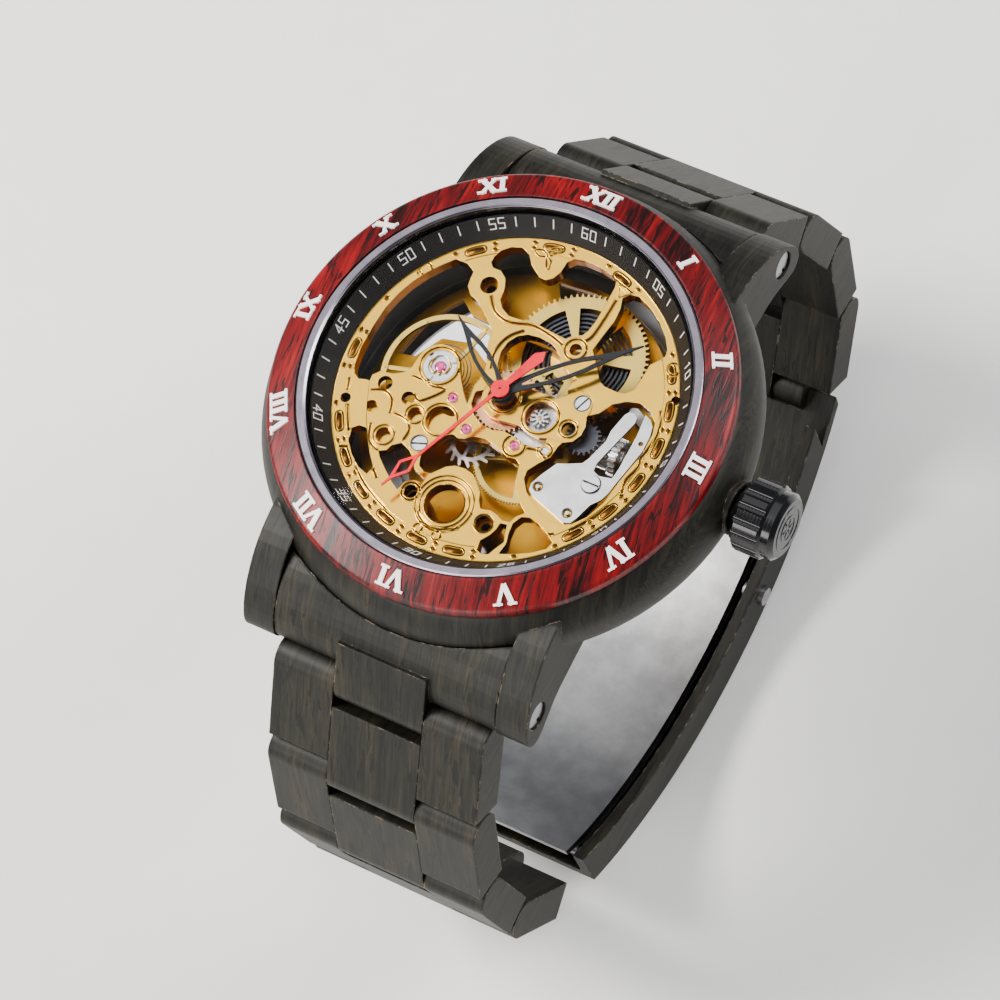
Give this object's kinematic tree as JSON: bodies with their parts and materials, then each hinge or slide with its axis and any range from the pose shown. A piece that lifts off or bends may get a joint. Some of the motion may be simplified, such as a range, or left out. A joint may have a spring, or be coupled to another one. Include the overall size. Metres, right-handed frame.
{
  "type": "skeleton wristwatch",
  "caption": "Skeleton automatic wristwatch with a red wood-grain bezel, gold open-worked movement, dark three-row bracelet and folding clasp.",
  "frame": {"origin": "centre of the case back's outer face", "axes": "+Z out of the dial, +Y towards 12 o'clock, +X towards 3 o'clock and the crown"},
  "size_m": [0.0484, 0.0708, 0.0608],
  "materials": {
    "dark_wood_film": "matt dark olive-grey wood-grain film on steel",
    "red_wood_film": "satin red wood-grain film",
    "white_enamel": "white filled numerals",
    "clear_glass": "clear mineral glass",
    "grey_ring": "polished grey ring with fine turning",
    "black_dial": "satin black with white print",
    "back_steel": "brushed stainless steel",
    "gloss_black": "gloss black plated steel",
    "black_hands": "matt black",
    "red_hand": "bright red lacquer",
    "gold_plate": "polished pale gold plating",
    "ruby": "polished synthetic ruby",
    "bright_steel": "fine satin steel",
    "dark_steel": "blued spring steel",
    "brass": "satin brass",
    "copper": "copper-coloured bronze"
  },
  "bodies": {
    "case": {"case_body": "dark_wood_film", "bezel": "red_wood_film", "bezel_numerals": "white_enamel", "crystal": "clear_glass", "crystal_ring": "grey_ring", "chapter_ring": "black_dial", "case_back": "back_steel", "back_glass": "clear_glass", "lug_bars": "back_steel", "main_plate": "gold_plate", "lower_plate": "gold_plate", "balance_bridge": "gold_plate", "centre_bridge": "gold_plate", "jewels": "ruby", "plate_screws": "bright_steel", "shock_setting": "bright_steel", "cover_plate": "bright_steel", "rotor_bearing": "back_steel", "end_link_12": "dark_wood_film", "end_link_6": "dark_wood_film"},
    "setting_lever": {"setting_lever": "bright_steel"},
    "crown": {"crown": "gloss_black", "stem": "bright_steel"},
    "yoke": {"yoke": "bright_steel"},
    "clutch": {"sliding_pinion": "bright_steel"},
    "winding_pinion": {"winding_pinion": "bright_steel"},
    "crown_wheel": {"crown_wheel": "bright_steel"},
    "barrel_arbor": {"barrel_arbor": "bright_steel", "ratchet_wheel": "bright_steel"},
    "barrel": {"barrel": "brass", "mainspring": "dark_steel"},
    "minute": {"centre_wheel": "brass", "cannon_pinion": "black_hands", "minute_hand": "black_hands"},
    "third": {"third_wheel": "brass"},
    "seconds": {"fourth_wheel": "brass", "second_hand": "red_hand"},
    "escape": {"escape_wheel": "bright_steel"},
    "pallet": {"pallet_fork": "bright_steel"},
    "balance": {"balance_wheel": "brass", "hairspring": "dark_steel"},
    "minute_work": {"minute_wheel": "bright_steel"},
    "hour": {"hour_wheel": "copper", "hour_hand": "black_hands"},
    "setting_wheel": {"setting_wheel": "dark_steel"},
    "rotor": {"rotor": "back_steel"},
    "link_12_1": {"link_12_1": "dark_wood_film"},
    "link_12_2": {"link_12_2": "dark_wood_film"},
    "link_12_3": {"link_12_3": "dark_wood_film"},
    "link_12_4": {"link_12_4": "dark_wood_film"},
    "link_6_1": {"link_6_1": "dark_wood_film"},
    "link_6_2": {"link_6_2": "dark_wood_film"},
    "link_6_3": {"link_6_3": "dark_wood_film"},
    "link_6_4": {"link_6_4": "dark_wood_film"},
    "clasp_cover": {"clasp_cover": "dark_wood_film"},
    "blade_outer": {"clasp_blade_outer": "back_steel"},
    "blade_inner": {"clasp_blade_inner": "back_steel"},
    "button_3": {"button_3": "back_steel"},
    "button_9": {"button_9": "back_steel"}
  },
  "joints": [
    {"name": "crown_pull", "type": "slide", "parent": "case", "child": "setting_lever", "axis": [1, 0, 0], "range_m": [0, 0.0009]},
    {"name": "crown_turn", "type": "hinge", "parent": "setting_lever", "child": "crown", "pos_m": [0.02, 0, 0.0048], "axis": [1, 0, 0], "continuous": true},
    {"name": "yoke_slide", "type": "slide", "parent": "case", "child": "yoke", "axis": [-1, 0, 0], "range_m": [0, 0.0002]},
    {"name": "clutch_turn", "type": "hinge", "parent": "yoke", "child": "clutch", "pos_m": [0.0103, 0, 0.0048], "axis": [1, 0, 0], "continuous": true},
    {"name": "winding_pinion_turn", "type": "hinge", "parent": "case", "child": "winding_pinion", "pos_m": [0.0092, 0, 0.0048], "axis": [1, 0, 0], "continuous": true},
    {"name": "crown_wheel_turn", "type": "hinge", "parent": "case", "child": "crown_wheel", "pos_m": [0.0089, 0.0029, 0.003], "axis": [0, 0, -1], "continuous": true},
    {"name": "ratchet_turn", "type": "hinge", "parent": "case", "child": "barrel_arbor", "pos_m": [0.0032, 0.0063, 0.003], "axis": [0, 0, -1], "continuous": true},
    {"name": "seconds_turn", "type": "hinge", "parent": "case", "child": "seconds", "pos_m": [0, 0, 0.01], "axis": [0, 0, -1], "continuous": true},
    {"name": "minute_turn", "type": "hinge", "parent": "case", "child": "minute", "pos_m": [0, 0, 0.0096], "axis": [0, 0, -1], "continuous": true},
    {"name": "barrel_turn", "type": "hinge", "parent": "case", "child": "barrel", "pos_m": [0.0032, 0.0063, 0.0058], "axis": [0, 0, -1], "continuous": true},
    {"name": "third_turn", "type": "hinge", "parent": "case", "child": "third", "pos_m": [0.0029, -0.00355, 0.0054], "axis": [0, 0, -1], "continuous": true},
    {"name": "escape_turn", "type": "hinge", "parent": "case", "child": "escape", "pos_m": [-0.00165, -0.00385, 0.0058], "axis": [0, 0, -1], "continuous": true},
    {"name": "minute_work_turn", "type": "hinge", "parent": "case", "child": "minute_work", "pos_m": [0.0035, -0.00033, 0.0072], "axis": [0, 0, -1], "continuous": true},
    {"name": "hour_turn", "type": "hinge", "parent": "case", "child": "hour", "pos_m": [0, 0, 0.0092], "axis": [0, 0, -1], "continuous": true},
    {"name": "setting_wheel_turn", "type": "hinge", "parent": "case", "child": "setting_wheel", "pos_m": [0.0076, -0.00033, 0.0072], "axis": [0, 0, -1], "continuous": true},
    {"name": "pallet_rock", "type": "hinge", "parent": "case", "child": "pallet", "pos_m": [-0.00412, -0.00173, 0.0058], "axis": [0, 0, -1], "range_deg": [-3, 3]},
    {"name": "balance_swing", "type": "hinge", "parent": "case", "child": "balance", "pos_m": [-0.0066, 0.0004, 0.0065], "axis": [0, 0, -1], "range_deg": [-270, 270], "stiffness_Nm_per_rad": 0.00000064},
    {"name": "rotor_turn", "type": "hinge", "parent": "case", "child": "rotor", "pos_m": [0, 0, 0.002], "axis": [0, 0, -1], "continuous": true},
    {"name": "link_12_1_hinge", "type": "hinge", "parent": "case", "child": "link_12_1", "pos_m": [0, 0.0254, -0.0016], "axis": [1, 0, 0], "range_deg": [0, 15]},
    {"name": "link_12_2_hinge", "type": "hinge", "parent": "link_12_1", "child": "link_12_2", "pos_m": [0, 0.03085, -0.00999], "axis": [1, 0, 0], "range_deg": [0, 20]},
    {"name": "link_12_3_hinge", "type": "hinge", "parent": "link_12_2", "child": "link_12_3", "pos_m": [0, 0.0336, -0.0196], "axis": [1, 0, 0], "range_deg": [0, 20]},
    {"name": "link_12_4_hinge", "type": "hinge", "parent": "link_12_3", "child": "link_12_4", "pos_m": [0, 0.03221, -0.0295], "axis": [1, 0, 0], "range_deg": [0, 20]},
    {"name": "link_6_1_hinge", "type": "hinge", "parent": "case", "child": "link_6_1", "pos_m": [0, -0.0254, -0.0016], "axis": [-1, 0, 0], "range_deg": [0, 15]},
    {"name": "link_6_2_hinge", "type": "hinge", "parent": "link_6_1", "child": "link_6_2", "pos_m": [0, -0.03085, -0.00999], "axis": [-1, 0, 0], "range_deg": [0, 20]},
    {"name": "link_6_3_hinge", "type": "hinge", "parent": "link_6_2", "child": "link_6_3", "pos_m": [0, -0.0336, -0.0196], "axis": [-1, 0, 0], "range_deg": [0, 20]},
    {"name": "link_6_4_hinge", "type": "hinge", "parent": "link_6_3", "child": "link_6_4", "pos_m": [0, -0.03221, -0.0295], "axis": [-1, 0, 0], "range_deg": [0, 20]},
    {"name": "clasp_hinge", "type": "hinge", "parent": "link_12_4", "child": "clasp_cover", "pos_m": [0, 0.02662, -0.03779], "axis": [1, 0, 0], "range_deg": [0, 60]},
    {"name": "outer_blade_hinge", "type": "hinge", "parent": "clasp_cover", "child": "blade_outer", "pos_m": [0, -0.02182, -0.04075], "axis": [1, 0, 0], "range_deg": [0, 70]},
    {"name": "inner_blade_hinge", "type": "hinge", "parent": "blade_outer", "child": "blade_inner", "pos_m": [0, 0.015, -0.04354], "axis": [-1, 0, 0], "range_deg": [0, 90]},
    {"name": "button_3_push", "type": "slide", "parent": "clasp_cover", "child": "button_3", "axis": [-1, 0, 0], "range_m": [0, 0.0003], "stiffness_N_per_m": 300},
    {"name": "button_9_push", "type": "slide", "parent": "clasp_cover", "child": "button_9", "axis": [1, 0, 0], "range_m": [0, 0.0003], "stiffness_N_per_m": 300}
  ],
  "couplings": [
    {"joint": "yoke_slide", "follows": "crown_pull", "ratio": 0.22222},
    {"joint": "clutch_turn", "follows": "crown_turn", "ratio": 1},
    {"joint": "winding_pinion_turn", "follows": "crown_turn", "ratio": 1},
    {"joint": "crown_wheel_turn", "follows": "crown_turn", "ratio": 0.58065},
    {"joint": "ratchet_turn", "follows": "crown_turn", "ratio": -0.45},
    {"joint": "minute_turn", "follows": "seconds_turn", "ratio": 0.016667},
    {"joint": "barrel_turn", "follows": "seconds_turn", "ratio": -0.0026316},
    {"joint": "third_turn", "follows": "seconds_turn", "ratio": -0.10417},
    {"joint": "escape_turn", "follows": "seconds_turn", "ratio": -6},
    {"joint": "minute_work_turn", "follows": "seconds_turn", "ratio": -0.0055556},
    {"joint": "hour_turn", "follows": "seconds_turn", "ratio": 0.0013889},
    {"joint": "setting_wheel_turn", "follows": "seconds_turn", "ratio": 0.01}
  ]
}
